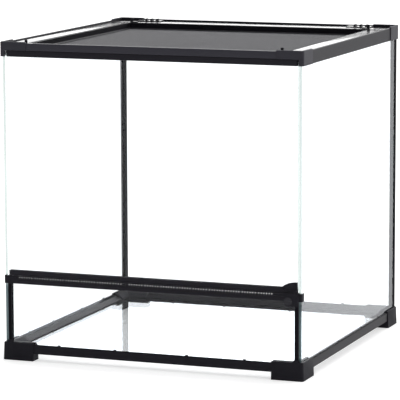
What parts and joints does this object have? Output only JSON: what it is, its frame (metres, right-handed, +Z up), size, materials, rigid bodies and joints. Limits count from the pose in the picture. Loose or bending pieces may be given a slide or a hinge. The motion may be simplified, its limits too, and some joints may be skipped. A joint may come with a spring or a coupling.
{
  "type": "reptile terrarium",
  "caption": "Cube glass terrarium with a side-hinged front door over a slotted vent strip, lift-out mesh lid, turning lid clips, sliding cable inlets and a turn lock.",
  "frame": {"origin": "centre of the footprint on the table, at the underside of the feet", "axes": "+Z up, the door faces -Y, the hinge is at -X and the finger pull and lock are at +X"},
  "size_m": [0.452, 0.452, 0.4574],
  "materials": {
    "black_frame": "satin black moulded plastic",
    "black_profile": "glossy black extruded plastic",
    "clear_glass": "clear float glass with seamed green edges",
    "steel": "plain steel",
    "screen_wire": "dark coated woven wire"
  },
  "bodies": {
    "frame": {"foot_front_left": "black_frame", "foot_front_right": "black_frame", "foot_back_left": "black_frame", "foot_back_right": "black_frame", "base_rail_front": "black_frame", "base_rail_back": "black_frame", "base_rail_left": "black_frame", "base_rail_right": "black_frame", "floor_glass": "clear_glass", "side_glass_left": "clear_glass", "side_glass_right": "clear_glass", "back_glass": "clear_glass", "front_low_glass": "clear_glass", "back_post_left": "black_profile", "back_post_right": "black_profile", "front_post_left": "black_profile", "front_post_right": "black_profile", "vent_strip": "black_frame", "vent_end_left": "black_frame", "vent_end_right": "black_frame", "hinge_pin_bottom": "steel", "hinge_pin_top": "steel", "top_rail_front": "black_frame", "top_rail_back": "black_frame", "top_rail_left": "black_frame", "top_rail_right": "black_frame", "cap_front_left": "black_frame", "cap_front_right": "black_frame", "cap_back_left": "black_frame", "cap_back_right": "black_frame"},
    "door": {"door_glass": "clear_glass", "door_bottom_rail": "black_frame", "door_top_rail": "black_frame", "door_pull": "black_frame"},
    "lock": {"lock_knob": "black_frame", "lock_tongue": "steel"},
    "screen": {"screen_frame": "black_frame", "screen_mesh": "screen_wire"},
    "lid_clip_front_left": {"clip_front_left": "black_frame"},
    "lid_clip_front_right": {"clip_front_right": "black_frame"},
    "lid_clip_back_left": {"clip_back_left": "black_frame"},
    "lid_clip_back_right": {"clip_back_right": "black_frame"},
    "slider_left": {"inlet_slider_left": "black_frame"},
    "slider_right": {"inlet_slider_right": "black_frame"}
  },
  "joints": [
    {"name": "door_hinge", "type": "hinge", "parent": "frame", "child": "door", "pos_m": [-0.211, -0.22, 0.28], "axis": [0, 0, -1], "range_deg": [0, 105]},
    {"name": "lock_turn", "type": "hinge", "parent": "frame", "child": "lock", "pos_m": [0.2035, -0.2245, 0.1108], "axis": [0, -1, 0], "range_deg": [0, 90]},
    {"name": "screen_lift", "type": "slide", "parent": "frame", "child": "screen", "axis": [0, 0, 1], "range_m": [0, 0.06]},
    {"name": "clip_turn_front_left", "type": "hinge", "parent": "frame", "child": "lid_clip_front_left", "pos_m": [-0.19, -0.212, 0.453], "axis": [0, 0, 1], "range_deg": [0, 90]},
    {"name": "clip_turn_front_right", "type": "hinge", "parent": "frame", "child": "lid_clip_front_right", "pos_m": [0.19, -0.212, 0.453], "axis": [0, 0, -1], "range_deg": [0, 90]},
    {"name": "clip_turn_back_left", "type": "hinge", "parent": "frame", "child": "lid_clip_back_left", "pos_m": [-0.19, 0.184, 0.453], "axis": [0, 0, -1], "range_deg": [0, 90]},
    {"name": "clip_turn_back_right", "type": "hinge", "parent": "frame", "child": "lid_clip_back_right", "pos_m": [0.19, 0.184, 0.453], "axis": [0, 0, 1], "range_deg": [0, 90]},
    {"name": "inlet_slide_left", "type": "slide", "parent": "frame", "child": "slider_left", "axis": [1, 0, 0], "range_m": [0, 0.028]},
    {"name": "inlet_slide_right", "type": "slide", "parent": "frame", "child": "slider_right", "axis": [-1, 0, 0], "range_m": [0, 0.028]}
  ]
}
